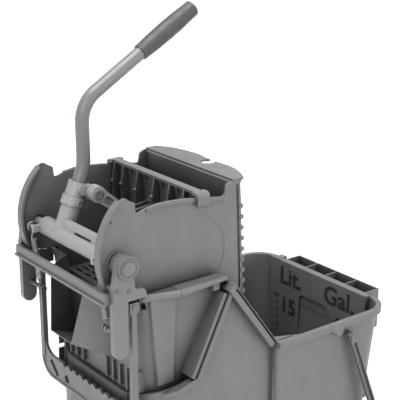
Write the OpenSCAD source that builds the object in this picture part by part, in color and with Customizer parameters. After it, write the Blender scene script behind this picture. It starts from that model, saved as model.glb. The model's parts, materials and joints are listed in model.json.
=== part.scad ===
// Two-compartment mop bucket with a side-press wringer. Millimetres, +Z up.
// Every module is drawn about the press shaft: X runs from the pouring end to the
// rear tub, Y runs across, and the shaft's own axis lies along Y at height axis_z.

/* [Place] */
// Height of the press shaft above the floor
axis_z = 525; // [500:1:540]
// Distance of the press shaft from the middle of the length, towards the front
axis_x = 294.5; // [280:0.5:310]

/* [Rear tub] */
// Height of the rear tub's rim, below the shaft
tub_rim_z = -210; // [-215:1:-205]
// Underside of the tub, below the shaft
tub_floor_z = -437; // [-440:1:-434]
// Half of the tub's width at its rim
tub_half_w = 193; // [190:1:196]
// Outer face of the tub's rear end
tub_rear_x = 595; // [592:1:598]
// Thickness of the tub's moulded walls
tub_wall = 4; // [3.5:0.5:5]

/* [Front bucket] */
// Height of the front bucket's rim, below the shaft
rim_z = -60; // [-61:1:-59]
// Depth of the front bucket, from rim to underside
bucket_depth = 201.6; // [200:0.2:201.6]
// Half of the front bucket's width at its rim
bucket_half_w = 154; // [153:1:155]
// Thickness of the front bucket's walls
bucket_wall = 3.5; // [3:0.5:4]

/* [Wringer] */
// Half of the distance across the wringer's side plates
plate_y = 135; // [134:0.5:136]
// Thickness of a side plate
plate_t = 4; // [3.5:0.5:4.5]
// Travel of the press plate
press_stroke = 40; // [30:1:40]

/* [Handle] */
// Lean of the lower handle socket from vertical, in degrees
socket_tilt = 22; // [20:1:24]
// Lean of the upper handle from vertical, in degrees
grip_tilt = 59; // [55:1:62]
// Outer radius of the handle tube
tube_r = 12.5; // [12:0.25:13]
// Distance of the handle's plane from the middle
handle_y = 46; // [44:1:48]
// Distance from the shaft to the crank pin
crank_r = 90; // [88:1:92]
// Lean of the crank pin from vertical, in degrees
crank_tilt = 35.4; // [34:0.2:36]
// Length of the push link between its pins
link_len = 88; // [86:1:90]

/* [Casters] */
// Radius of a caster's tyre
wheel_r = 30; // [29:0.5:31]
// Distance from a caster's swivel to its wheel, along the floor
caster_trail = 22; // [20:1:24]

/* [Hidden] */
CASTERS = ["front_near", "front_far", "rear_near", "rear_far"];
CASTER_X = [82, 82, 496, 496];
CASTER_Y = [-128, 128, -136, 136];

BODY_GREY = [0.46, 0.47, 0.46];
LIGHT_GREY = [0.62, 0.63, 0.61];
DARK_GREY = [0.27, 0.28, 0.28];
PAINT_GREY = [0.66, 0.67, 0.65];
STEEL = [0.75, 0.75, 0.76];

SMALL = 0.01; // thickness of a slab that only shapes a hull
OVER = 1; // how far a cut runs past the face that it opens
RUN = 0.05; // radial clearance of a running fit
GAP = 0.4; // gap between faces of pieces that move past each other

// Base: the cradle's outline, seen from the side
seat_z = -262;
cradle_half_w = 170;
nose_r = 85; // rounding of the base's front corners, seen from above
apex = [207, -72];
seam_low = [127, -233];
seam_foot = [62, -251];
cradle_front = [28, seat_z];
tub_front_x = 306;
flange_t = 8;
flange_out = 186;
tub_draft = 15;
rear_corner_r = 50;
panel_x = 579;
panel_half_w = 145;
caddy_far_y = 109;
caddy_near_y = -131;
caddy_depth = 46;
caddy_height = 84;
caddy_wall = 3;
caddy_cells = 4;
boss_r = 20;
boss_top_z = -402;
boss_foot_z = -446;
stem_r = 5.5;
stem_top_z = -412;

// Front bucket
bucket_front_x = 30;
bucket_floor_z = rim_z - bucket_depth;
rear_rim = [277, -158];
bucket_foot_x = [37, 222];
bail_axis = [13, -74];
rear_bail_axis = [483, -243];
rear_bail_lean = 22;
rear_bail_len = 250;

// Wringer
front_arc = [85, 12, 124];
bracket_y = 150;
bracket_t = 16;
shaft_r = 17;
journal_r = 9;
BRACKET_SCREWS = [[-21, -36], [3, -42]];
peg_at = [-11, -122];
peg_r = 4;
lug_at = [-24, 1];
spring_y = 113;
wall_x = 240;
wall_rear_x = 258;
LOW_RIM = [[56, 84], [80, 87.5], [108, 87], [140, 84.5], [192, 76.5], [219, 73]];
notch_at = [277, -16];

// Linkage, in the plane of the handle's swing
crank_pin_at = [crank_r * sin(crank_tilt), crank_r * cos(crank_tilt)];
plate_pin_z = 20;
plate_pin_at = [crank_pin_at[0] + sqrt(link_len * link_len - pow(crank_pin_at[1] - plate_pin_z, 2)),
    plate_pin_z];
link_pin_r = 5;
link_y = 14;
PLATE_RIBS_Y = [-98, -55, -8, 45, 92, 122];
press_face_x = 178;

// Handle, as distances along the tube
bend_r = 60;
lower_knee = 48 / sin(socket_tilt);
riser_len = 111;
upper_len = 276;
grip_start = 146;
grip_end = 283;

// Casters
wheel_z = wheel_r - axis_z;
wheel_w = 22;

// ---------- helpers ----------

module placed() {
    translate([-axis_x, 0, axis_z]) children();
}

// A block between two corners
module block(low, high) {
    translate(low) cube(high - low);
}

// A rod along Y between two distances from the middle
module rod_y(x, z, r, y0, y1) {
    translate([x, y1, z]) rotate([90, 0, 0]) cylinder(h = y1 - y0, r = r, $fn = 48);
}

// A flat piece whose outline lies in the XZ plane, between two distances from the middle
module slab_y(y0, y1) {
    translate([0, y1, 0]) rotate([90, 0, 0]) linear_extrude(y1 - y0) children();
}

// A bar between two points of the XZ plane, t deep below the line that joins them
module strip(p, q, t, y0, y1) {
    angle = atan2(q[1] - p[1], q[0] - p[0]);
    translate([p[0], y0, p[1]]) rotate([0, -angle, 0]) translate([0, 0, -t])
        cube([norm(q - p), y1 - y0, t]);
}

// The same piece on both sides of the middle plane
module both_sides() {
    children();
    mirror([0, 1, 0]) children();
}

function arc_points(cx, cy, r, from, to, steps = 8) =
    [for (i = [0:steps]) [cx + r * cos(from + (to - from) * i / steps), cy + r * sin(from + (to - from) * i / steps)]];

// Plan outline with one corner radius at the front and another at the rear
function plan(x0, x1, half, front_r, rear_r) = concat(
    arc_points(x1 - rear_r, half - rear_r, rear_r, 0, 90),
    arc_points(x0 + front_r, half - front_r, front_r, 90, 180),
    arc_points(x0 + front_r, front_r - half, front_r, 180, 270),
    arc_points(x1 - rear_r, rear_r - half, rear_r, 270, 360));

// A drafted solid between two plan outlines
module drafted(top, top_z, foot, foot_z) {
    hull() {
        translate([0, 0, top_z - SMALL]) linear_extrude(SMALL) polygon(top);
        translate([0, 0, foot_z]) linear_extrude(SMALL) polygon(foot);
    }
}

// ---------- base ----------

module tub_solid(inset, foot_z) {
    drafted(
        plan(tub_front_x + inset, tub_rear_x - inset, tub_half_w - inset, 10, rear_corner_r - inset), tub_rim_z,
        plan(tub_front_x + 8 + inset, tub_rear_x - 17 - inset, tub_half_w - tub_draft - inset, 10,
            rear_corner_r - inset), foot_z);
}

module tub_rim() {
    bead = 7;
    translate([0, 0, tub_rim_z - 12]) linear_extrude(12) difference() {
        polygon(plan(tub_front_x, tub_rear_x + bead, tub_half_w + bead, 6, rear_corner_r + bead));
        polygon(plan(tub_front_x + tub_wall, tub_rear_x - tub_wall, tub_half_w - tub_wall, 6,
            rear_corner_r - tub_wall));
    }
}

module end_panel() {
    arch = [-46, 51];
    arch_top = tub_rim_z - 56;
    arch_r = 26;
    difference() {
        block([panel_x, -panel_half_w, tub_floor_z + 2], [tub_rear_x - 1, panel_half_w, tub_rim_z + 4]);
        translate([panel_x - OVER, 0, 0]) rotate([90, 0, 90]) linear_extrude(5 + OVER)
            polygon(concat([[arch[0], tub_floor_z + 20], [arch[1], tub_floor_z + 20]],
                arc_points(arch[1] - 12, arch_top - 12, 12, 0, 90),
                arc_points(arch[0] + arch_r, arch_top - arch_r, arch_r, 90, 180)));
    }
}

module caddy() {
    x1 = panel_x + 7 + caddy_depth;
    pitch = (caddy_far_y - caddy_near_y - caddy_wall) / caddy_cells;
    block([panel_x, caddy_far_y + 9, tub_rim_z], [tub_rear_x + 8, caddy_far_y + 26, tub_rim_z + 5]);
    difference() {
        block([tub_rear_x - 12, caddy_near_y, tub_rim_z + 4 - caddy_height], [x1, caddy_far_y, tub_rim_z + 4]);
        for (i = [0:caddy_cells - 1]) {
            y = caddy_near_y + caddy_wall + i * pitch;
            block([tub_rear_x - 5, y, tub_rim_z + 4 - caddy_height + caddy_wall],
                [x1 - caddy_wall, y + pitch - caddy_wall, tub_rim_z + 4 + OVER]);
        }
    }
}

module caster_boss(i) {
    top_z = i < 2 ? seat_z - 1 : boss_top_z;
    translate([CASTER_X[i], CASTER_Y[i], boss_foot_z]) cylinder(h = top_z - boss_foot_z, r = boss_r, $fn = 64);
}

module cradle() {
    front = cradle_front[0];
    intersection() {
        translate([0, 0, tub_floor_z]) linear_extrude(400) difference() {
            polygon(plan(front, tub_front_x + 6, cradle_half_w, nose_r, 2));
            polygon(plan(front + tub_wall, tub_front_x + 30, cradle_half_w - tub_wall, nose_r - tub_wall, 2));
        }
        slab_y(-flange_out, flange_out) polygon([cradle_front, seam_foot, seam_low, apex,
            [tub_front_x + 6, tub_rim_z], [tub_front_x + 6, tub_floor_z], [front, tub_floor_z]]);
    }
    both_sides() {
        intersection() {
            cradle_flanges();
            translate([0, 0, tub_floor_z]) linear_extrude(400)
                polygon(plan(front, tub_front_x + 30, flange_out + OVER, nose_r + 12, 2));
        }
        block([tub_front_x, cradle_half_w - tub_wall, tub_floor_z],
            [tub_front_x + tub_wall, tub_half_w - tub_draft, tub_rim_z - 6]);
    }
    translate([0, 0, seat_z - tub_wall]) linear_extrude(tub_wall)
        polygon(plan(front + 1, tub_front_x + 6, cradle_half_w - 1, nose_r - 1, 2));
    nose_fins(front, seat_z - 40, seat_z - 0.5);
    for (y = [-60, 60]) {
        block([front + 1, y - 2, tub_floor_z + 20], [tub_front_x + 6, y + 2, seat_z - 1]);
    }
}

// Upright fins that square out the rounded front corners
module nose_fins(front, low_z, high_z) {
    for (y = [62:22:128], side = [-1, 1]) {
        block([front, side * y - 1.5, low_z], [front + 2 + pow(max(0, y - 70) / 9.5, 2), side * y + 1.5, high_z]);
    }
}

// Overhanging edge that follows the V of the cradle, with a channel along the rear slope
module cradle_flanges() {
    y0 = cradle_half_w - tub_wall;
    slope_end = [tub_front_x + 2, tub_rim_z];
    strip(cradle_front, seam_foot, flange_t, y0, flange_out - 6);
    strip(seam_foot, seam_low, flange_t, y0, flange_out - 6);
    strip(seam_low, apex, flange_t, y0, flange_out - 3);
    difference() {
        strip(apex, slope_end, 16, y0, flange_out);
        translate([5, 0, -9]) strip(apex, slope_end, 4, flange_out - 7, flange_out + OVER);
    }
}

module corner_ledges() {
    both_sides() translate([0, 0, tub_rim_z - 6]) linear_extrude(4) difference() {
        polygon([[tub_front_x + 1, tub_half_w - 1], [tub_front_x + 72, tub_half_w - 1],
            [tub_front_x + 1, tub_half_w - 34]]);
        translate([tub_front_x + 10, tub_half_w - 13]) square([34, 3]);
    }
}

module bail_stops() {
    both_sides() slab_y(tub_half_w - 6, tub_half_w + 7)
        polygon([[rear_bail_axis[0] - 50, tub_rim_z - 11], [rear_bail_axis[0] - 14, tub_rim_z - 11],
            [rear_bail_axis[0] - 22, tub_rim_z - 27], [rear_bail_axis[0] - 28, tub_rim_z - 27]]);
    both_sides() rod_y(rear_bail_axis[0], rear_bail_axis[1], 8, tub_half_w - 8, tub_half_w + 7);
}

module base_tub() {
    color(BODY_GREY) placed() difference() {
        union() {
            difference() {
                tub_solid(0, tub_floor_z);
                translate([0, 0, SMALL * 2]) tub_solid(tub_wall, tub_floor_z + tub_wall);
            }
            tub_rim();
            end_panel();
            caddy();
            cradle();
            corner_ledges();
            bail_stops();
            for (i = [0:3]) {
                caster_boss(i);
            }
        }
        for (i = [0:3]) {
            translate([CASTER_X[i], CASTER_Y[i], boss_foot_z - OVER])
                cylinder(h = stem_top_z + 4 - boss_foot_z + OVER, r = stem_r + 3, $fn = 48);
        }
        both_sides() rod_y(rear_bail_axis[0], rear_bail_axis[1], 4, tub_half_w - 20, tub_half_w + 20);
    }
}

module swivel_sockets() {
    color(DARK_GREY) placed() for (i = [0:3]) {
        translate([CASTER_X[i], CASTER_Y[i], boss_foot_z]) difference() {
            cylinder(h = stem_top_z + 4 - boss_foot_z, r = stem_r + 3, $fn = 48);
            translate([0, 0, -OVER]) cylinder(h = stem_top_z + 1 - boss_foot_z + OVER, r = stem_r + RUN, $fn = 48);
        }
    }
}

// ---------- bails ----------

module rear_bail_pins() {
    color(STEEL) placed() both_sides() {
        rod_y(rear_bail_axis[0], rear_bail_axis[1], 4, tub_half_w - 8, tub_half_w + 17);
        rod_y(rear_bail_axis[0], rear_bail_axis[1], 5.5, tub_half_w + 16, tub_half_w + 18);
    }
}

// A leg of U section, open to the outside, hanging from its eye
module channel_leg(length, w, y0, y1) {
    difference() {
        block([-w / 2, y0, -length], [w / 2, y1, 0]);
        block([-w / 2 + 2.5, y1 - 5, -length + 12], [w / 2 - 2.5, y1 + OVER, -16]);
    }
}

module rear_bail() {
    y0 = tub_half_w + 7 + GAP;
    y1 = y0 + 8;
    w = 14;
    color(BODY_GREY) placed() translate([rear_bail_axis[0], 0, rear_bail_axis[1]])
        rotate([0, -rear_bail_lean, 0]) difference() {
            union() {
                both_sides() {
                    block([-w / 2, y0, -1], [w / 2, y1, 7]);
                    channel_leg(rear_bail_len, w, y0, y1);
                }
                block([-w / 2, -y1, -rear_bail_len - 10], [w / 2, y1, -rear_bail_len + 2]);
                rod_y(0, -rear_bail_len - 4, 11, -60, 60);
            }
            both_sides() rod_y(0, 0, 4 + RUN, y0 - OVER, y1 + OVER);
        }
}

module front_bail_pins() {
    color(DARK_GREY) placed() both_sides() {
        rod_y(bail_axis[0], bail_axis[1], 4, bucket_half_w - 12, bucket_half_w + 8);
        rod_y(bail_axis[0], bail_axis[1], 5, bucket_half_w + 6.3, bucket_half_w + 7.5);
    }
}

module front_bail() {
    x0 = 8;
    x1 = 18;
    leg_in = 148;
    leg_out = 160;
    foot_z = -318;
    web_top = -272;
    corner_r = 38;
    color(BODY_GREY) placed() difference() {
        union() {
            both_sides() {
                block([bail_axis[0] - 9, leg_in, bail_axis[1] - 12], [bail_axis[0] + 9, leg_out, bail_axis[1] + 8]);
                block([x0, leg_in, foot_z + corner_r], [x1, leg_out, bail_axis[1]]);
            }
            bail_web(x0, x1, leg_out, leg_in, foot_z, web_top, corner_r);
        }
        for (y = [-77:22:77]) {
            translate([x0 - OVER, y, web_top + 2]) rotate([0, 90, 0]) cylinder(h = 20, r = 7, $fn = 40);
        }
        for (side = [-1, 1]) {
            translate([x0 - OVER, side * 70, foot_z + 18]) rotate([0, 90, 0]) cylinder(h = 20, r = 8, $fn = 40);
            translate([x0 - OVER, side * 116, foot_z + 24]) rotate([side * 45, 0, 0])
                block([0, -17, -5], [20, 17, 5]);
        }
        both_sides() rod_y(bail_axis[0], bail_axis[1], 4 + RUN, leg_in - OVER, leg_out + OVER);
    }
}

// The bail's lower bar: a web with a raised edge, rounded at both corners
module bail_web(x0, x1, out, in, foot_z, top_z, r) {
    outer = concat(arc_points(out - r, foot_z + r, r, 270, 360), [[out, foot_z + r + 1], [in, foot_z + r + 1]],
        arc_points(in - 30, top_z + 30, 30, 360, 270));
    translate([x0 + 2, 0, 0]) rotate([90, 0, 90]) linear_extrude(x1 - x0 - 4)
        polygon(concat(outer, [for (i = [len(outer) - 1:-1:0]) [-outer[i][0], outer[i][1]]]));
    rim = concat(arc_points(out - r, foot_z + r, r, 270, 360), [[out, foot_z + r + 1], [out - 5, foot_z + r + 1]],
        arc_points(out - r, foot_z + r, r - 5, 360, 270));
    translate([x0, 0, 0]) rotate([90, 0, 90]) linear_extrude(x1 - x0)
        polygon(concat(rim, [for (i = [len(rim) - 1:-1:0]) [-rim[i][0], rim[i][1]]]));
}

// ---------- front bucket ----------

module bucket_solid(inset, foot_z) {
    drafted(
        plan(bucket_front_x + inset, 331 - inset, bucket_half_w - inset, 22 - inset, 12), rim_z - 2,
        plan(bucket_foot_x[0] + inset, bucket_foot_x[1] - inset, bucket_half_w - 10 - inset, 60 - inset, 12),
        foot_z);
}

// Everything above the bucket's side outline
module above_bucket() {
    slab_y(-250, 250) polygon([[0, rim_z - 2], [apex[0] - 4, rim_z - 2], [apex[0] - 2, apex[1]],
        [rear_rim[0] - 5, rear_rim[1]], [400, rear_rim[1]], [400, 0], [0, 0]]);
}

module spout_solid(inset) {
    hull() {
        block([-38 - inset, -36 + inset, -173 + inset], [-37 - inset, 36 - inset, -172 + inset]);
        block([-20 - inset, -58 + inset, rim_z - 4], [-19 - inset, 58 - inset, rim_z + inset]);
        block([bucket_front_x, -66 + inset, -208 + inset], [bucket_front_x + 3 + inset, 66 - inset, -207 + inset]);
        block([bucket_front_x, -92 + inset, rim_z - 4], [bucket_front_x + 3 + inset, 92 - inset, rim_z + inset]);
    }
}

module bucket_rims() {
    w = bucket_half_w;
    thick_end = 98;
    thin_at = [37, w - 2];
    thick_at = [thick_end, w + 16];
    both_sides() {
        translate([0, 0, rim_z - 12]) linear_extrude(11)
            polygon([[bucket_front_x - 1, w - 6], [thick_end, w - 6], thick_at, thin_at]);
        block([thick_end - 1, w - 6, rim_z - 8], [apex[0] - 3, thick_at[1], rim_z]);
        rim_bead(thin_at, thick_at, 7, 7);
        rim_bead(thick_at, [apex[0] - 7, thick_at[1]], 7, 4);
        block([172, w + 4, rim_z - 22], [186, w + 15, rim_z - 6]);
        strip([apex[0] - 3, rim_z], [rear_rim[0], rear_rim[1] + 3], 6, w - 8, w + 8);
        strip(seam_low + [-10, 4], apex + [-19, -14], 7, w - 6, flange_out - 6);
        // the front of the side wall stands proud
        hull() {
            block([46, w - 10, rim_z - 14], [thick_end, w + 6, rim_z - 12]);
            block([66, w - 24, bucket_floor_z + 22], [thick_end, w - 3, bucket_floor_z + 24]);
        }
    }
    for (side = [-1, 1]) {
        block([bucket_front_x - 2, side < 0 ? -w : 90, rim_z - 12], [bucket_front_x + 8, side < 0 ? -90 : w, rim_z]);
    }
    block([rear_rim[0] - 8, -w - 2, rear_rim[1] - 6], [rear_rim[0] + 8, w + 2, rear_rim[1]]);
}

// A round bead under the rim's edge between two points in plan, with a ball at its start
module rim_bead(p, q, r1, r2) {
    fall = r1 - r2;
    run = norm(q - p);
    translate([p[0], p[1], rim_z - r1]) {
        sphere(r = r1 + 0.15, $fn = 48);
        rotate([0, 0, atan2(q[1] - p[1], q[0] - p[0])]) rotate([0, 90 - atan2(fall, run), 0])
            cylinder(h = norm([run, fall]), r1 = r1, r2 = r2, $fn = 48);
    }
}

module front_bucket() {
    weir_z = -118;
    color(BODY_GREY) placed() difference() {
        union() {
            difference() {
                union() {
                    difference() {
                        bucket_solid(0, bucket_floor_z);
                        above_bucket();
                    }
                    spout_solid(0);
                    bucket_rims();
                    both_sides() bail_tab();
                    front_ribs();
                }
                bucket_solid(bucket_wall, bucket_floor_z + bucket_wall);
                spout_solid(3);
                block([-60, -100, rim_z - OVER], [bucket_front_x + 2, 100, rim_z + OVER]);
            }
            difference() {
                block([bucket_front_x, -88, -204], [bucket_front_x + bucket_wall, 88, weir_z]);
                block([bucket_front_x - 1, -30, -206], [bucket_front_x, 30, weir_z + 1]);
            }
        }
        both_sides() rod_y(bail_axis[0], bail_axis[1], 4, bucket_half_w - 20, bucket_half_w + 20);
        block([bucket_front_x + bucket_wall, -bucket_half_w + 5, rim_z - 30],
            [apex[0], bucket_half_w - 5, rim_z + OVER]);
    }
}

// Ear on the front corner that carries the bail's pin
module bail_tab() {
    block([bail_axis[0] - 9, bucket_half_w - 12, bail_axis[1] - 14],
        [bucket_front_x + 4, bucket_half_w - 6.5, rim_z - 2]);
}

// Upright finger ribs low on the front wall
module front_ribs() {
    for (y = [40:22:128], side = [-1, 1]) {
        block([bucket_front_x - 1, side * y - 1.5, bucket_floor_z + 8], [bucket_front_x + 34, side * y + 1.5, -214]);
    }
}

// ---------- wringer ----------

// Outline of a side plate: curved front edge, lobe, notch, low rim and rear block
function plate_outline() = concat(
    arc_points(front_arc[0], front_arc[1], front_arc[2], 206, 131, 14),
    arc_points(13, 98, 11, 120, 40, 5),
    [[34, 98], [35, 88]],
    arc_points(41, 85, 6, 200, 300, 4),
    LOW_RIM, [[223, 76], [226, 92]],
    [[236, 97], [262, 98], [wall_rear_x, 90], [wall_rear_x + 2, 60], [wall_rear_x + 8, -116], [46, -116],
    [42, -66], [40, -57], [0, -54]]);

module side_plate() {
    difference() {
        slab_y(plate_y - plate_t, plate_y) polygon(plate_outline());
        rod_y(0, 0, 13, plate_y - 20, plate_y + 20);
        rod_y(151, -20, 72, plate_y - 0.6, plate_y + OVER);
        slab_y(plate_y - 20, plate_y + 20) translate([-14, 74]) circle(r = 2.5, $fn = 24);
        // groove beside the rear edge
        slab_y(plate_y - 2.8, plate_y + OVER)
            polygon([[248.5, 90], [254, 88], [255, 60], [261, -108], [255.5, -108], [249.5, 60]]);
    }
    // standoffs for the bracket's screws
    for (p = BRACKET_SCREWS) {
        difference() {
            rod_y(p[0], p[1], 6, plate_y - 1, bracket_y);
            rod_y(p[0], p[1], 2.5, bracket_y - 8, bracket_y + OVER);
        }
    }
    // raised lip along the curved front edge
    slab_y(plate_y - 12, plate_y + 3) polygon(concat(
        arc_points(front_arc[0], front_arc[1], front_arc[2] + 0.5, 206, 131, 14),
        arc_points(front_arc[0], front_arc[1], front_arc[2] - 4, 131, 206, 14)));
    // raised arc over the pivot
    slab_y(plate_y - 1, plate_y + 3)
        polygon(concat(arc_points(0, 0, 26.5, 175, 95, 8), arc_points(0, 0, 24, 95, 175, 8)));
    // bead along the low rim
    slab_y(plate_y - 1, plate_y + 3) polygon(concat([for (p = LOW_RIM) p + [0, 0.5]],
        [for (i = [len(LOW_RIM) - 1:-1:0]) LOW_RIM[i] - [0, 6]]));
}

// Outline, in plan, of the flared lip over the rear wall
function lip_outline() = concat(
    [[wall_x + 2, -plate_y], [266, -plate_y + 1], [277, -114], [288, -84], [291, -60], [289, -36]],
    [[290, 6], [295, 40], [291, 73], [283, 105], [266, plate_y - 1], [wall_x + 2, plate_y]]);

module rear_wall() {
    slab_y(-plate_y + 1, plate_y - 1) polygon([[wall_x, 94], [wall_x + 4, 98], [wall_x + 16, 98],
        [wall_rear_x, 92], [wall_rear_x + 2, 60], [wall_rear_x + 8, -116], [wall_rear_x + 4, -116],
        [wall_rear_x - 4, 60], [wall_rear_x - 6, 90], [wall_x + 5, 88], [wall_x + 12, -100], [wall_x + 7, -100]]);
    difference() {
        translate([0, 0, 96]) linear_extrude(4) polygon(lip_outline());
        translate([notch_at[0], notch_at[1], 90]) cylinder(h = 20, r = 14, $fn = 96);
        block([notch_at[0], notch_at[1] - 9, 90], [300, notch_at[1] + 9, 110]);
    }
    for (i = [0:8]) {
        rod_y(wall_rear_x + 2.5 + i * 0.85, 48 - i * 20.5, 4.5, -plate_y - 1, plate_y + 1);
    }
    for (y = [-90, -45, 0, 45, 90]) {
        block([wall_x + 5, y - 1.5, -98], [wall_rear_x + 2, y + 1.5, 92]);
    }
}

module wringer_frame() {
    color(BODY_GREY) placed() {
        both_sides() side_plate();
        rear_wall();
        // rails that carry the drain grid
        both_sides() block([48, plate_y - plate_t - 8, -112], [246, plate_y - plate_t + 1, -107]);
        block([44, -plate_y + 2, -116], [49, plate_y - 2, -96]);
        block([wall_x + 4, -plate_y + 2, -112], [wall_rear_x + 8, plate_y - 2, -107]);
        // feet that stand on the bucket's rear rim
        for (y = [-70, 70]) {
            block([wall_rear_x + 5, y - 12, rear_rim[1] + GAP], [wall_rear_x + 20, y + 12, -108]);
        }
    }
}

module drain_grid() {
    y = plate_y - plate_t - GAP;
    color(LIGHT_GREY) placed() difference() {
        block([49 + GAP, -y, -107], [wall_x + 4, y, -103]);
        for (x = [66:14:234], row = [-4:3]) {
            block([x - 3, row * 30 + 4, -108], [x + 3, row * 30 + 26, -102]);
        }
    }
}

module bracket_side() {
    y0 = bracket_y;
    y1 = bracket_y + bracket_t;
    rod_y(0, 0, 20, plate_y, y1);
    slab_y(y0, y0 + 12) difference() {
        polygon(concat([[-29, -43], [-20, 8], [0, 20], [18, 10], [13, -20], [14, -38]],
            arc_points(24, -54, 13, 110, 10, 5), [[37, rim_z + GAP], [0, rim_z + GAP], [-1, -146]],
            arc_points(-15, -146, 14, 0, -180, 8), [[-29, -60]]));
    }
}

module wringer_bracket() {
    color(LIGHT_GREY) placed() difference() {
        union() {
            both_sides() bracket_side();
            block([-39, -bracket_y - 2, -60], [-33, bracket_y + 2, -42]);
            block([-43, -bracket_y - 2, -62], [-33, bracket_y + 2, -58]);
            both_sides() block([-34, bracket_y - 8, -60], [-20, bracket_y + 2, -44]);
        }
        rod_y(0, 0, journal_r + 2, -bracket_y - 12, bracket_y + 12);
        both_sides() rod_y(0, 0, 16, bracket_y + 13, bracket_y + bracket_t + OVER);
        both_sides() rod_y(peg_at[0], peg_at[1], peg_r, bracket_y - OVER, bracket_y + 8);
        both_sides() for (p = BRACKET_SCREWS) {
            rod_y(p[0], p[1], 2.5, bracket_y - OVER, bracket_y + 13);
        }
    }
}

module bracket_screws() {
    color(STEEL) placed() both_sides() for (p = BRACKET_SCREWS) {
        rod_y(p[0], p[1], 2.5, bracket_y - 8, bracket_y + 12);
        difference() {
            rod_y(p[0], p[1], 4, bracket_y + 12, bracket_y + 13.5);
            rod_y(p[0], p[1], 1.8, bracket_y + 12.5, bracket_y + 15);
        }
    }
}

module shaft_bushes() {
    color(DARK_GREY) placed() both_sides() difference() {
        rod_y(0, 0, journal_r + 2, plate_y, bracket_y + 11);
        rod_y(0, 0, journal_r + RUN, plate_y - OVER, bracket_y + 12);
    }
}

module pivot_caps() {
    color(LIGHT_GREY) placed() both_sides() difference() {
        rod_y(0, 0, 16, bracket_y + 13, bracket_y + bracket_t + 2);
        translate([0, bracket_y + bracket_t + 3, 0]) rotate([90, 0, 0]) difference() {
            cylinder(h = 2, r = 14, $fn = 48);
            translate([0, 0, -OVER]) cylinder(h = 4, r = 12.5, $fn = 48);
        }
    }
}

module spring_pegs() {
    color(LIGHT_GREY) placed() both_sides() {
        rod_y(peg_at[0], peg_at[1], peg_r, spring_y - 8, bracket_y + 8);
        rod_y(peg_at[0], peg_at[1], peg_r + 2, spring_y - 10, spring_y - 6);
    }
}

// Close-wound return spring: the coil as a sleeve, with an end loop at each end
module return_spring() {
    wire_r = 0.9;
    coil_r = 6;
    low = [peg_at[0], peg_at[1]];
    high = [lug_at[0], lug_at[1]];
    length = norm(high - low);
    hook = 13;
    translate([low[0], spring_y, low[1]]) rotate([0, atan2(high[0] - low[0], high[1] - low[1]), 0]) {
        translate([0, 0, hook]) rotate_extrude($fn = 48)
            translate([coil_r - wire_r, 0]) square([2 * wire_r, length - 2 * hook]);
        for (end = [0, 1]) {
            translate([0, 0, end * length]) rotate([90, 0, 0])
                rotate_extrude($fn = 48) translate([peg_r + 1.6, 0]) circle(r = wire_r, $fn = 16);
            block([-wire_r, -wire_r, end > 0 ? length - hook - 2 : peg_r + 1],
                [wire_r, wire_r, end > 0 ? length - peg_r - 1 : hook + 2]);
            translate([0, 0, end > 0 ? length - hook - 1 : hook - 1]) cylinder(h = 2, r = coil_r, $fn = 32);
        }
    }
}

module return_spring_near() {
    color(STEEL) placed() mirror([0, 1, 0]) return_spring();
}

module return_spring_far() {
    color(STEEL) placed() return_spring();
}

// ---------- press handle ----------

// Children are drawn with Z along the handle socket
module along_socket() {
    translate([0, handle_y, 0]) rotate([0, socket_tilt, 0]) children();
}

module yoke() {
    lug_y = spring_y - 13;
    pin_y = link_y + 11;
    color(PAINT_GREY) placed() difference() {
        union() {
            rod_y(0, 0, shaft_r, -lug_y - 4, lug_y + 4);
            both_sides() {
                rod_y(0, 0, journal_r, lug_y, bracket_y + 10);
                rod_y(lug_at[0], lug_at[1], 4, lug_y, spring_y + 7);
                rod_y(lug_at[0], lug_at[1], 6, spring_y + 4.5, spring_y + 8);
                block([lug_at[0] - 6, lug_y - 4, -6], [0, lug_y + 4, 6]);
            }
            along_socket() cylinder(h = 97, r = 18, $fn = 64);
            // stiffening ridge along the shaft
            block([-6, -96, 0], [6, handle_y - 8, 30]);
            // lug that holds the crank pin
            difference() {
                slab_y(pin_y, handle_y) hull() {
                    translate(crank_pin_at) circle(r = 11, $fn = 32);
                    translate([33, 80]) circle(r = 9, $fn = 32);
                }
                along_socket() cylinder(h = 120, r = 17, $fn = 64);
            }
        }
        along_socket() translate([0, 0, 36]) cylinder(h = 80, r = tube_r, $fn = 64);
        rod_y(crank_pin_at[0], crank_pin_at[1], link_pin_r, pin_y, handle_y - 14);
        block([-7, -60, 8], [7, -6, 20]);
        along_socket() translate([0, 0, 62]) rotate([90, 0, 0]) cylinder(h = 40, r = 3, center = true, $fn = 32);
    }
}

module socket_collar() {
    color(PAINT_GREY) placed() along_socket() difference() {
        union() {
            translate([0, 0, 54]) cylinder(h = 16, r = 21, $fn = 64);
            translate([0, -6, 54]) cube([29, 12, 16]);
        }
        translate([0, 0, 53]) cylinder(h = 18, r = 18, $fn = 64);
        translate([0, 0, 62]) rotate([90, 0, 0]) cylinder(h = 60, r = 3, center = true, $fn = 32);
    }
}

module clamp_screw() {
    color(STEEL) placed() along_socket() translate([0, 0, 62]) rotate([90, 0, 0]) {
        cylinder(h = 44, r = 3, center = true, $fn = 32);
        for (end = [-1, 1]) {
            translate([0, 0, end * 23]) cylinder(h = 4, r = 5.5, center = true, $fn = 6);
        }
    }
}

// Elbow from straight up to an angle towards +X, starting at the origin, a hair fatter than the tube
module elbow(r, angle) {
    swell = 0.05;
    translate([bend_r, 0, 0]) rotate([90, 0, 0]) rotate([0, 0, 180 - angle])
        rotate_extrude(angle = angle, $fn = 96) translate([bend_r, 0]) circle(r = r + swell, $fn = 64);
}

// A straight length of tube that laps a little into the elbows at its ends
module straight(r, from, to) {
    lap = 0.4;
    translate([0, 0, from - lap]) cylinder(h = to - from + 2 * lap, r = r, $fn = 64);
}

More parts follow.
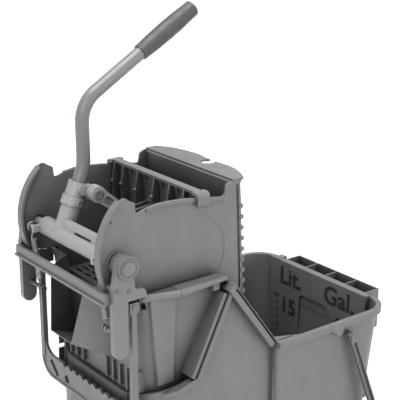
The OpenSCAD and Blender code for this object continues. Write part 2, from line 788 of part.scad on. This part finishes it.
module tube_path(r, start, end) {
    t1 = bend_r * tan(socket_tilt / 2);
    t2 = bend_r * tan(grip_tilt / 2);
    translate([0, handle_y, 0]) {
        rotate([0, socket_tilt, 0]) straight(r, start, lower_knee - t1);
        translate([lower_knee * sin(socket_tilt), 0, lower_knee * cos(socket_tilt)]) {
            translate([0, 0, t1]) mirror([0, 0, 1]) mirror([1, 0, 0]) elbow(r, socket_tilt);
            straight(r, t1, riser_len - t2);
            translate([0, 0, riser_len - t2]) elbow(r, grip_tilt);
            translate([0, 0, riser_len]) rotate([0, grip_tilt, 0]) straight(r, t2, end);
        }
    }
}

module handle_tube() {
    color(PAINT_GREY) placed() difference() {
        tube_path(tube_r, 36, upper_len);
        tube_path(tube_r - 2, 35, upper_len + OVER);
        along_socket() translate([0, 0, 62]) rotate([90, 0, 0]) cylinder(h = 40, r = 3, center = true, $fn = 32);
    }
}

module handle_grip() {
    knee = [lower_knee * sin(socket_tilt), lower_knee * cos(socket_tilt) + riser_len];
    color(DARK_GREY) placed() translate([knee[0], handle_y, knee[1]]) rotate([0, grip_tilt, 0])
        difference() {
            rotate_extrude($fn = 64) polygon(concat(
                [[0, grip_start], [15, grip_start], [15, grip_start + 6], [16.4, grip_start + 30],
                [17.2, grip_start + 62], [17, grip_start + 92], [15.6, grip_end - 16]],
                arc_points(9, grip_end - 8, 8, 40, 90, 5), [[0, grip_end]]));
            translate([0, 0, grip_start - OVER]) cylinder(h = upper_len - grip_start + OVER, r = tube_r, $fn = 64);
        }
}

module crank_pin() {
    color(STEEL) placed() {
        rod_y(crank_pin_at[0], crank_pin_at[1], link_pin_r, link_y - 11, handle_y - 14);
        rod_y(crank_pin_at[0], crank_pin_at[1], 9, link_y - 13.4, link_y - 10.4);
    }
}

// ---------- link and press plate ----------

module push_link() {
    y0 = link_y - 10;
    y1 = link_y + 10;
    low = plate_pin_at;
    high = crank_pin_at;
    color(PAINT_GREY) placed() difference() {
        union() {
            rod_y(high[0], high[1], 15, y0, y1);
            rod_y(low[0], low[1], 11, y0 + 4, y1 - 4);
            difference() {
                slab_y(y0 + 1, y1 - 1) hull() {
                    translate(high) circle(r = 13, $fn = 32);
                    translate(low) circle(r = 9, $fn = 32);
                }
                for (y = [y0, y1 - 7]) {
                    slab_y(y, y + 7) hull() {
                        translate(high + (low - high) * 0.26) circle(r = 7, $fn = 32);
                        translate(high + (low - high) * 0.7) circle(r = 5, $fn = 32);
                    }
                }
                rod_y(low[0], low[1], 17, y0, y0 + 4);
                rod_y(low[0], low[1], 17, y1 - 4, y1);
            }
        }
        rod_y(high[0], high[1], link_pin_r + RUN, y0 - OVER, y1 + OVER);
        rod_y(low[0], low[1], 4, y0 - OVER, y1 + OVER);
    }
}

module plate_pin() {
    color(STEEL) placed() {
        rod_y(plate_pin_at[0], plate_pin_at[1], 4, link_y - 14, link_y + 14);
        for (y = [link_y - 16, link_y + 13.4]) {
            rod_y(plate_pin_at[0], plate_pin_at[1], 6.5, y, y + 2.6);
        }
    }
}

module press_plate() {
    face_in = press_face_x - 5;
    y = plate_y - plate_t - 1.2;
    color(BODY_GREY) placed() difference() {
        union() {
            block([face_in, -y, -98], [press_face_x, y, 91]);
            for (rib_y = PLATE_RIBS_Y) {
                plate_rib(rib_y, face_in);
            }
            block([face_in - 11, -y, 86], [press_face_x, y, 91]);
            both_sides() plate_hook(y);
            // wiping ribs on the press face
            for (z = [-88:15:77]) {
                block([press_face_x - 1, -y + 6, z - 2], [press_face_x + 3, y - 6, z + 2]);
            }
        }
        // seat of the clevis
        block([face_in - 30, link_y - 15 - GAP, -22 - GAP], [face_in, link_y + 15 + GAP, 46 + GAP]);
    }
}

// A stiffening rib up the back of the press plate, with a gusset at its top and two knots
module plate_rib(rib_y, face_in) {
    rib_back = 156;
    slab_y(rib_y - 2, rib_y + 2) polygon([[face_in + 1, 91], [rib_back + 6, 91], [rib_back, 60],
        [rib_back, -40], [face_in + 1, -92]]);
    slab_y(max(rib_y - 14, -126), min(rib_y + 14, 126))
        polygon([[face_in + 1, 88], [face_in - 6, 88], [face_in + 1, 60]]);
    for (z = [14, 52]) {
        rod_y(rib_back + 1, z, 4, rib_y - 3.5, rib_y + 3.5);
    }
}

// Hook that slides along a side plate's low rim
module plate_hook(y) {
    translate([158, 0, 0]) rotate([90, 0, 90]) linear_extrude(26) polygon(concat([[y - 4, 84.5], [y - 4, 91]],
        arc_points(plate_y + 0.5, 82.5, 8.5, 90, 0), [[plate_y + 9, 69], [plate_y + 6.5, 66], [plate_y + 4, 69],
        [plate_y + 4, 82], [plate_y + 1.5, 84.5]]));
}

module plate_clevis() {
    x1 = press_face_x - 5;
    slot_from = -1;
    slot_to = 4;
    color(BODY_GREY) placed() difference() {
        union() {
            for (y0 = [link_y - 10, link_y + 10]) {
                slab_y(y0 - 3, y0 + 3) polygon([[x1, 36], [plate_pin_at[0] + 4, 31], [plate_pin_at[0] - 6, 29],
                    [plate_pin_at[0] - 11, 20], [plate_pin_at[0] - 6, 11], [x1, -4]]);
            }
            block([x1 - 5, link_y - 15, -22], [x1, link_y + 15, 46]);
        }
        for (x = [slot_from, slot_to]) {
            rod_y(plate_pin_at[0] + x, plate_pin_at[1], 5.2, link_y - 20, link_y + 20);
        }
        block([plate_pin_at[0] + slot_from, link_y - 20, plate_pin_at[1] - 5.2],
            [plate_pin_at[0] + slot_to, link_y + 20, plate_pin_at[1] + 5.2]);
        for (z = [-14, 40]) {
            translate([x1 - 8, link_y, z]) rotate([0, 90, 0]) cylinder(h = 10, r = 2.5, $fn = 32);
        }
    }
}

module clevis_screws() {
    x1 = press_face_x - 5;
    color(STEEL) placed() for (z = [-14, 40]) {
        translate([x1 - 5, link_y, z]) rotate([0, 90, 0]) cylinder(h = 5, r = 2.5, $fn = 32);
        translate([x1 - 8, link_y, z]) rotate([0, 90, 0]) cylinder(h = 3, r = 5, $fn = 32);
    }
}

// ---------- casters ----------

module at_caster(i) {
    placed() translate([CASTER_X[i], CASTER_Y[i], 0]) children();
}

module caster_fork(i) {
    top_z = boss_foot_z - 2;
    cheek_y = wheel_w / 2 + 1.5;
    color(DARK_GREY) at_caster(i) difference() {
        union() {
            translate([0, 0, boss_foot_z - 2]) cylinder(h = 1.6, r = 13, $fn = 48);
            translate([0, 0, top_z]) cylinder(h = stem_top_z - top_z, r = stem_r, $fn = 48);
            translate([0, 0, top_z - 6]) cylinder(h = 6, r = 20, $fn = 64);
            for (side = [-1, 1]) {
                y = side > 0 ? cheek_y : -cheek_y - 3;
                slab_y(y, y + 3) polygon([[-17, top_z - 5], [18, top_z - 5],
                    [caster_trail + 8, wheel_z], [caster_trail + 5, wheel_z - 7], [caster_trail - 5, wheel_z - 7],
                    [caster_trail - 9, wheel_z]]);
            }
        }
        rod_y(caster_trail, wheel_z, 4, -cheek_y - 5, cheek_y + 5);
    }
}

module axle(i) {
    color(STEEL) at_caster(i) {
        rod_y(caster_trail, wheel_z, 4, -wheel_w / 2 - 6, wheel_w / 2 + 6);
        rod_y(caster_trail, wheel_z, 6, wheel_w / 2 + 4.5, wheel_w / 2 + 7.5);
        rod_y(caster_trail, wheel_z, 6, -wheel_w / 2 - 7.5, -wheel_w / 2 - 4.5);
    }
}

module wheel_hub(i) {
    color(LIGHT_GREY) at_caster(i) difference() {
        union() {
            rod_y(caster_trail, wheel_z, wheel_r - 7, -wheel_w / 2 + 2, wheel_w / 2 - 2);
            rod_y(caster_trail, wheel_z, 9, -wheel_w / 2 - 1, wheel_w / 2 + 1);
        }
        both_sides() difference() {
            rod_y(caster_trail, wheel_z, wheel_r - 10, wheel_w / 2 - 5, wheel_w / 2);
            rod_y(caster_trail, wheel_z, 9, wheel_w / 2 - 6, wheel_w / 2 + 1);
        }
        rod_y(caster_trail, wheel_z, 4 + RUN, -wheel_w, wheel_w);
    }
}

module tyre(i) {
    r0 = wheel_r - 7;
    color(DARK_GREY) at_caster(i) translate([caster_trail, 0, wheel_z]) rotate([90, 0, 0])
        rotate_extrude($fn = 96) polygon(concat([[r0, -wheel_w / 2 + 1], [r0, wheel_w / 2 - 1]],
            arc_points(wheel_r - 5, wheel_w / 2 - 5, 5, 90, 0, 5), arc_points(wheel_r - 5, 5 - wheel_w / 2, 5, 0, -90, 5)));
}

// ---------- nodes ----------

base_tub();
swivel_sockets();
rear_bail_pins();
rear_bail();
front_bucket();
front_bail_pins();
front_bail();
wringer_frame();
drain_grid();
wringer_bracket();
bracket_screws();
shaft_bushes();
pivot_caps();
spring_pegs();
return_spring_near();
return_spring_far();
yoke();
socket_collar();
clamp_screw();
handle_tube();
handle_grip();
crank_pin();
push_link();
plate_pin();
press_plate();
plate_clevis();
clevis_screws();
caster_fork(0);  // caster_fork_front_near
caster_fork(1);  // caster_fork_front_far
caster_fork(2);  // caster_fork_rear_near
caster_fork(3);  // caster_fork_rear_far
axle(0);  // axle_front_near
axle(1);  // axle_front_far
axle(2);  // axle_rear_near
axle(3);  // axle_rear_far
wheel_hub(0);  // wheel_hub_front_near
wheel_hub(1);  // wheel_hub_front_far
wheel_hub(2);  // wheel_hub_rear_near
wheel_hub(3);  // wheel_hub_rear_far
tyre(0);  // tyre_front_near
tyre(1);  // tyre_front_far
tyre(2);  // tyre_rear_near
tyre(3);  // tyre_rear_far
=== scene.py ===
"""Looks of a two-compartment mop bucket with a side-press wringer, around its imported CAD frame.

Metres, in the CAD's own frame. Places are worked out from the press shaft's axis, as the CAD does it.
"""

import json
import math

import bmesh
import bpy
from mathutils import Matrix, Vector


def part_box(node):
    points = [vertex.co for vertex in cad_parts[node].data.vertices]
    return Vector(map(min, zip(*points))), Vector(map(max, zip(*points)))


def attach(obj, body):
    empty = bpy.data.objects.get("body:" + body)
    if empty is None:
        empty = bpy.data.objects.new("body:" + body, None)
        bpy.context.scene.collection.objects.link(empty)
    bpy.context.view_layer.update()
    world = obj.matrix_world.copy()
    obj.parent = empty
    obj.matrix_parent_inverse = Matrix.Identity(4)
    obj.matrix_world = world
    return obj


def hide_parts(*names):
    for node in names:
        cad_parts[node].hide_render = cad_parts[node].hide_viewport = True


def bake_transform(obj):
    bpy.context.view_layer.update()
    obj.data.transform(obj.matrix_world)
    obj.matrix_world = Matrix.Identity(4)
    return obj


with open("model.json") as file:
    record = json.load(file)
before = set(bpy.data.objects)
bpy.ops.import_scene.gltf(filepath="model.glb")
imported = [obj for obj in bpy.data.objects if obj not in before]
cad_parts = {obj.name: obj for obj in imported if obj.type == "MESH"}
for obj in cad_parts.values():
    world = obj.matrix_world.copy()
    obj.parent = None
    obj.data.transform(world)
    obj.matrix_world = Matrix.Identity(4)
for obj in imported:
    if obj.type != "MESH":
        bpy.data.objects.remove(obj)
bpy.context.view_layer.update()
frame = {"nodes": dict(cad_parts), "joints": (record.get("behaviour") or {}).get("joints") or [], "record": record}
nodes = frame["nodes"]

MM = 0.001
JOINTS = {joint["name"]: joint for joint in frame["joints"]}
SHAFT = Vector(JOINTS["handle_swing"]["pos_m"])  # a point on the press shaft's axis, mid-width


def at(x, y, z):
    """A point given in millimetres from the press shaft."""
    return SHAFT + Vector((x, y, z)) * MM


# ---------- camera, light and floor ----------

WORLD_STRENGTH = 0.95
FLOOR_RADIUS = 9
# Name, place and aim in metres, side in metres, watts
LAMPS = (
    ("overhead", (-0.3, -0.2, 2.6), (0, 0, 0.4), 1.6, 62),
    ("front_left", (-2.4, -1.6, 1.7), (0, 0, 0.45), 1.2, 22),
    ("right_side", (1.3, -2.6, 1.3), (0, 0, 0.4), 1.1, 16),
)


def make_camera():
    data = bpy.data.cameras.new("camera")
    data.lens = 97.1
    data.sensor_width = 36
    data.clip_end = 50
    camera = bpy.data.objects.new("camera", data)
    camera.location = at(-898.3, -1535.7, 648.9)
    camera.rotation_euler = [math.radians(angle) for angle in (72, 0, -37.3)]
    bpy.context.scene.collection.objects.link(camera)
    bpy.context.scene.camera = camera


def area_light(name, place, aim, size, power):
    data = bpy.data.lights.new(name, "AREA")
    data.shape = "RECTANGLE"
    data.size = data.size_y = size
    data.energy = power
    light = bpy.data.objects.new(name, data)
    light.location = place
    light.rotation_euler = (Vector(aim) - Vector(place)).to_track_quat("-Z", "Y").to_euler()
    bpy.context.scene.collection.objects.link(light)


def make_studio():
    world = bpy.data.worlds.new("studio")
    world.use_nodes = True
    world.node_tree.nodes["Background"].inputs["Color"].default_value = (1, 1, 1, 1)
    world.node_tree.nodes["Background"].inputs["Strength"].default_value = WORLD_STRENGTH
    bpy.context.scene.world = world
    bpy.context.scene.view_settings.view_transform = "Standard"
    for lamp in LAMPS:
        area_light(*lamp)
    bm = bmesh.new()
    bmesh.ops.create_circle(bm, cap_ends=True, segments=64, radius=FLOOR_RADIUS)
    floor = new_object("floor", bm)
    floor.data.materials.append(pale_floor())


# ---------- materials ----------


class Shader:
    """A Principled material, built up a node at a time."""

    def __init__(self, name):
        self.material = bpy.data.materials.new(name)
        self.material.use_nodes = True
        self.tree = self.material.node_tree
        self.bsdf = self.tree.nodes["Principled BSDF"]
        self.coords = self.tree.nodes.new("ShaderNodeTexCoord").outputs["Object"]

    def node(self, kind, inputs=None, **settings):
        made = self.tree.nodes.new("ShaderNode" + kind)
        for key, value in settings.items():
            setattr(made, key, value)
        for key, value in (inputs or {}).items():
            if isinstance(value, bpy.types.NodeSocket):
                self.tree.links.new(value, made.inputs[key])
            else:
                made.inputs[key].default_value = value
        return made

    def noise(self, scale, detail=3.0, stretch=(1, 1, 1)):
        place = self.coords
        if stretch != (1, 1, 1):
            place = self.node("Mapping", {"Vector": place, "Scale": stretch}).outputs["Vector"]
        made = self.node("TexNoise", {"Vector": place, "Scale": scale, "Detail": detail})
        return made.outputs["Fac"]

    def remap(self, value, low, high):
        """value's usual range, 0.3 to 0.7, taken to low and high."""
        made = self.node(
            "MapRange",
            {"Value": value, "From Min": 0.3, "From Max": 0.7, "To Min": low, "To Max": high},
        )
        return made.outputs["Result"]

    def hollows(self, depth, darkest):
        """A painted-shade mask, 1 in the open and down to darkest where surfaces closer than depth close in.

        It paints shade into the base colour of the hollows, from ambient occlusion, to deepen their shading for
        looks. It stands for no real change in the material.
        """
        open_sky = self.node("AmbientOcclusion", {"Distance": depth}, samples=6).outputs["AO"]
        made = self.node(
            "MapRange",
            {"Value": open_sky, "From Min": 0.1, "From Max": 0.8, "To Min": darkest, "To Max": 1},
        )
        return made.outputs["Result"]

    def times(self, a, b):
        """The product of two values; a may be None, for none so far."""
        return b if a is None else self.node("Math", {0: a, 1: b}, operation="MULTIPLY").outputs[0]

    def colour(self, base, variation, *masks, hollows=None):
        """base made darker or lighter by up to variation, following each mask in turn, then darkened by the
        painted shade in hollows if that is given.
        """
        shade = None
        for mask in masks:
            shade = self.times(shade, self.remap(mask, 1 - variation, 1 + variation))
        if hollows is not None:
            # Painted shade: the hollows' darkening from ambient occlusion goes into the base colour.
            shade = self.times(shade, hollows)
        tinted = self.node("VectorMath", {0: base, 1: shade}, operation="MULTIPLY")
        self.tree.links.new(tinted.outputs[0], self.bsdf.inputs["Base Color"])

    def rough(self, value, low, high):
        self.tree.links.new(self.remap(value, low, high), self.bsdf.inputs["Roughness"])

    def bumps(self, *layers):
        """Each layer is (height, depth in metres)."""
        normal = None
        for height, depth in layers:
            inputs = {"Height": height, "Distance": depth, "Strength": 1.0}
            if normal is not None:
                inputs["Normal"] = normal
            normal = self.node("Bump", inputs).outputs["Normal"]
        self.tree.links.new(normal, self.bsdf.inputs["Normal"])

    def fixed(self, **values):
        """Values that are the same all over, set on the shader's own sockets."""
        for key, value in values.items():
            self.bsdf.inputs[key.replace("_", " ")].default_value = value


def moulded_plastic(name, base, gloss=0.42, grain=0.00007):
    """Injection-moulded plastic: a fine grain, faint flow marks, and painted shade that makes the hollows darker.
    """
    s = Shader(name)
    cloud = s.noise(7, 4)
    flow = s.noise(26, 3, stretch=(1, 1, 0.25))
    # Painted shade: hollows within 0.24 m go down to 0.14 of the base colour.
    s.colour(base, 0.05, cloud, flow, hollows=s.hollows(0.24, 0.14))
    s.rough(s.noise(60, 4), gloss, gloss + 0.14)
    s.bumps((s.noise(14, 2), 0.0008), (s.noise(1300, 2), grain))
    s.fixed(IOR=1.49)
    return s.material


def painted_metal(name, base, gloss=0.33, peel=0.00006, casting=0.0):
    """Powder coat: orange peel, over the slow waves of a casting or tube, with painted shade in the hollows."""
    s = Shader(name)
    # Painted shade: hollows within 0.05 m go down to 0.6 of the base colour.
    s.colour(base, 0.035, s.noise(12, 4), s.noise(240, 2), hollows=s.hollows(0.05, 0.6))
    s.rough(s.noise(90, 3), gloss, gloss + 0.12)
    s.bumps((s.noise(45, 3), 0.0001 + casting), (s.noise(700, 2), peel))
    s.fixed(IOR=1.5, Coat_Weight=0.2, Coat_Roughness=0.25)
    return s.material


def plated_steel(name, base, gloss=0.24, brushed=(1, 1, 1)):
    """Bright zinc or chrome plate with drawing marks and a little tarnish."""
    s = Shader(name)
    s.colour(base, 0.12, s.noise(60, 4), s.noise(500, 2, stretch=brushed))
    s.rough(s.noise(160, 3), gloss, gloss + 0.18)
    s.bumps((s.noise(900, 2, stretch=brushed), 0.00004))
    s.fixed(Metallic=1.0)
    return s.material


def rubber(name, base, gloss=0.55):
    """Dull moulded rubber with a fine stipple and a dusty bloom."""
    s = Shader(name)
    s.colour(base, 0.14, s.noise(20, 4), s.noise(170, 3))
    s.rough(s.noise(80, 3), gloss, gloss + 0.2)
    s.bumps((s.noise(1100, 2), 0.00009))
    s.fixed(IOR=1.52)
    return s.material


def pale_floor():
    """White studio paper, with a glow that makes up for the light falling off away from the middle."""
    s = Shader("pale_floor")
    s.colour((0.93, 0.93, 0.93), 0.004, s.noise(3, 2))
    reach = s.node("VectorMath", {0: s.coords}, operation="LENGTH").outputs["Value"]
    glow = s.node(
        "MapRange",
        {"Value": reach, "From Min": 0.8, "From Max": 3.0, "To Min": 0, "To Max": 0.25},
    )
    s.tree.links.new(glow.outputs["Result"], s.bsdf.inputs["Emission Strength"])
    s.fixed(Roughness=0.7, IOR=1.3, Emission_Color=(1, 1, 1, 1))
    return s.material


BODY = moulded_plastic("body_plastic", (0.112, 0.116, 0.111))
LIGHT = moulded_plastic("light_plastic", (0.122, 0.127, 0.122), gloss=0.38)
DARK = moulded_plastic("dark_plastic", (0.05, 0.052, 0.052), gloss=0.45)
MARKS = moulded_plastic("marks_plastic", (0.018, 0.019, 0.019), gloss=0.5)
CAST = painted_metal("cast_paint", (0.2, 0.206, 0.197), gloss=0.38, peel=0.0001, casting=0.0002)
TUBE = painted_metal("tube_paint", (0.108, 0.117, 0.111), gloss=0.3)
GRIP = rubber("grip_rubber", (0.033, 0.035, 0.035), gloss=0.4)
TYRE = rubber("tyre_rubber", (0.06, 0.061, 0.062))
FORK = plated_steel("fork_steel", (0.55, 0.56, 0.57), gloss=0.3)
SPRING = plated_steel("spring_steel", (0.34, 0.34, 0.34), gloss=0.34)
ZINC = plated_steel("zinc_steel", (0.6, 0.6, 0.61), gloss=0.26)
BY_SLOT = {
    "body_plastic": BODY,
    "light_plastic": LIGHT,
    "dark_plastic": DARK,
    "cast_paint": CAST,
    "tube_paint": TUBE,
    "grip_rubber": GRIP,
    "tyre_rubber": TYRE,
    "fork_steel": FORK,
    "spring_steel": SPRING,
    "zinc_steel": ZINC,
}


# ---------- making pieces ----------


def new_object(name, bm):
    mesh = bpy.data.meshes.new(name)
    bm.to_mesh(mesh)
    bm.free()
    made = bpy.data.objects.new(name, mesh)
    bpy.context.scene.collection.objects.link(made)
    return made


def piece(made, slot, body, material=None):
    """Gives a new piece its material, smooth faces and the CAD body that it rides on."""
    made.data.materials.clear()
    made.data.materials.append(material or BY_SLOT[slot])
    made.data.shade_smooth()
    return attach(made, body)


def swept(bm, path, radius, sides=8):
    """A round wire along path, closed at both ends, that turns as little as it can on its way."""
    rings = []
    side = None
    for i, point in enumerate(path):
        ahead = (path[min(i + 1, len(path) - 1)] - path[max(i - 1, 0)]).normalized()
        side = ahead.orthogonal() if side is None else side - ahead * side.dot(ahead)
        side.normalize()
        lift = ahead.cross(side)
        ring = []
        for k in range(sides):
            turn = 2 * math.pi * k / sides
            ring.append(bm.verts.new(point + (side * math.cos(turn) + lift * math.sin(turn)) * radius))
        rings.append(ring)
    for a, b in zip(rings, rings[1:]):
        for k in range(sides):
            bm.faces.new((a[k], a[(k + 1) % sides], b[(k + 1) % sides], b[k]))
    bm.faces.new(list(reversed(rings[0])))
    bm.faces.new(rings[-1])


# ---------- the CAD pieces' edges and finish ----------

# Radius, in millimetres, of the edges that moulding or casting rounds over
EDGE_RADIUS = {
    "base_tub": 1.1,
    "front_bucket": 0.9,
    "wringer_frame": 0.9,
    "drain_grid": 0.5,
    "wringer_bracket": 1.2,
    "press_plate": 0.8,
    "plate_clevis": 0.8,
    "front_bail": 1.0,
    "rear_bail": 0.9,
    "yoke": 1.2,
    "socket_collar": 0.8,
    "push_link": 1.0,
    "pivot_caps": 0.9,
    "handle_grip": 1.5,
}
SMALL_EDGE = 0.3


def round_edges(obj, radius):
    """Welds the CAD mesh and rounds its sharp edges, as modifiers. Edges left sharp shade sharp."""
    weld = obj.modifiers.new("weld", "WELD")
    weld.merge_threshold = 0.00001
    bevel = obj.modifiers.new("bevel", "BEVEL")
    bevel.width = radius * MM
    bevel.segments = 2
    bevel.limit_method = "ANGLE"
    bevel.angle_limit = math.radians(34)
    bevel.use_clamp_overlap = True
    bevel.harden_normals = True
    split = obj.modifiers.new("split", "EDGE_SPLIT")
    split.use_edge_angle = True
    split.split_angle = math.radians(50)


def clear_normals(obj):
    """Drops the importer's own normals, so that the rounded edges shade smoothly."""
    layer = obj.data.attributes.get("custom_normal")
    if layer is not None:
        obj.data.attributes.remove(layer)
    obj.data.shade_smooth()


def finish_nodes():
    slots = {row["node"]: row["material_slot"] for row in frame["record"]["subparts"]}
    for name, obj in nodes.items():
        obj.data.materials.clear()
        obj.data.materials.append(BY_SLOT[slots[name]])
        clear_normals(obj)
        round_edges(obj, EDGE_RADIUS.get(name, SMALL_EDGE))


# ---------- return springs ----------


PEG = (-11, -122)  # x and z
LUG = (-24, 1)
WIRE_RADIUS = 0.95
COIL_TURNS = 30
POINTS_PER_TURN = 14


def spring_path(y):
    """A tension spring from its peg up to the yoke's lug: loop, close coil, loop."""
    foot, head = at(PEG[0], y, PEG[1]), at(LUG[0], y, LUG[1])
    along = (head - foot).normalized()
    side = Vector((0, 1, 0))
    out = along.cross(side)
    length = (head - foot).length
    coil_r, foot_r, head_r = 5.4 * MM, 6.0 * MM, 8.2 * MM
    coil_from, coil_to = 0.16 * length, 0.80 * length
    path = []
    foot_steps = 14
    for k in range(foot_steps + 1):
        turn = -math.pi * 0.55 + k / foot_steps * math.pi * 1.55
        path.append(foot + (out * math.sin(turn) - along * math.cos(turn)) * foot_r)
    coil_steps = COIL_TURNS * POINTS_PER_TURN
    for k in range(coil_steps + 1):
        turn = 2 * math.pi * k / POINTS_PER_TURN
        rise = coil_from + (coil_to - coil_from) * k / coil_steps
        path.append(foot + along * rise + (out * math.cos(turn) + side * math.sin(turn)) * coil_r)
    head_steps = 28
    for k in range(head_steps + 1):
        turn = -math.pi + k / head_steps * math.pi * 2.9
        drift = side * (k * 0.09 * MM)
        path.append(head + (along * math.cos(turn) + out * math.sin(turn)) * head_r + drift)
    return path


def make_springs():
    for which in ("near", "far"):
        low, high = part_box("return_spring_" + which)
        bm = bmesh.new()
        y = (low.y + high.y) / 2 / MM
        swept(bm, spring_path(y), WIRE_RADIUS * MM)
        spring = new_object("spring_wire_" + which, bm)
        spring.data.materials.append(SPRING)
        spring.data.shade_smooth()
        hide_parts("return_spring_" + which)
        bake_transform(spring)


# ---------- graduation on the rear tub's end panel ----------

PANEL_X = 579
LETTER_HEIGHT, NUMBER_HEIGHT, GALLON_HEIGHT = 56, 50, 46
HEADING_Z = -256  # foot of the two headings
LITRES_Y, GALLONS_Y = 110, -52  # left ends of the numbers
LITRES = ((15, -323), (10, -411))  # value, foot
GALLONS = ((4, -312), (3, -378))
TICKS, TICKS_PER_DASH = 8, 5
FIRST_TICK_Z, TICK_PITCH = -292, 17.5
DASH, TICK = (15, 4), (4.5, 6)  # length, height
# Left ends of the dashes and of the ticks, for each scale
TICK_COLUMNS = ((130, 121), (-110, -114))


def marking(name, text, y, z, size):
    """Raised text on the panel, read from the front: y is its left end, z its foot."""
    curve = bpy.data.curves.new(name, "FONT")
    curve.body = text
    curve.size = size * MM
    curve.extrude = 0.5 * MM
    curve.offset = 0.8 * MM
    curve.bevel_depth = 0.15 * MM
    made = bpy.data.objects.new(name, curve)
    made.matrix_world = Matrix.Translation(at(PANEL_X - 0.2, y, z)) @ Matrix(
        ((0, 0, -1, 0), (-1, 0, 0, 0), (0, 1, 0, 0), (0, 0, 0, 1))
    )
    bpy.context.scene.collection.objects.link(made)
    dg = bpy.context.evaluated_depsgraph_get()
    mesh = bpy.data.meshes.new_from_object(made.evaluated_get(dg))
    place = made.matrix_world.copy()
    bpy.data.objects.remove(made)
    solid = bpy.data.objects.new(name, mesh)
    mesh.transform(place)
    bpy.context.scene.collection.objects.link(solid)
    piece(solid, "dark_plastic", "base", MARKS)
    solid.data.shade_flat()


def tick(bm, y, z, length, height):
    """A raised dash: y is its left end."""
    low, high = at(PANEL_X - 0.7, y - length, z), at(PANEL_X + 0.3, y, z + height)
    made = bmesh.ops.create_cube(bm, size=1)["verts"]
    for vert in made:
        vert.co = Vector([low[i] + (vert.co[i] + 0.5) * (high[i] - low[i]) for i in range(3)])
    edges = {edge for vert in made for edge in vert.link_edges if edge.calc_length() > 0.9 * MM}
    bmesh.ops.bevel(bm, geom=list(edges), offset=0.3 * MM, segments=2, affect="EDGES", profile=0.6)


def make_graduation():
    marking("mark_litres", "Lit.", 113, HEADING_Z, LETTER_HEIGHT)
    marking("mark_gallons", "Gal.", -26, HEADING_Z, LETTER_HEIGHT)
    for value, z in LITRES:
        marking(f"mark_{value}_litres", str(value), LITRES_Y, z, NUMBER_HEIGHT)
    for value, z in GALLONS:
        marking(f"mark_{value}_gallons", str(value), GALLONS_Y, z, GALLON_HEIGHT)
    bm = bmesh.new()
    for step in range(TICKS):
        z = FIRST_TICK_Z - TICK_PITCH * step
        whole = step % TICKS_PER_DASH == 0
        for dash_y, tick_y in TICK_COLUMNS:
            tick(bm, dash_y if whole else tick_y, z, *(DASH if whole else TICK))
    piece(new_object("mark_ticks", bm), "dark_plastic", "base", MARKS)


make_camera()
make_studio()
finish_nodes()
make_springs()
make_graduation()
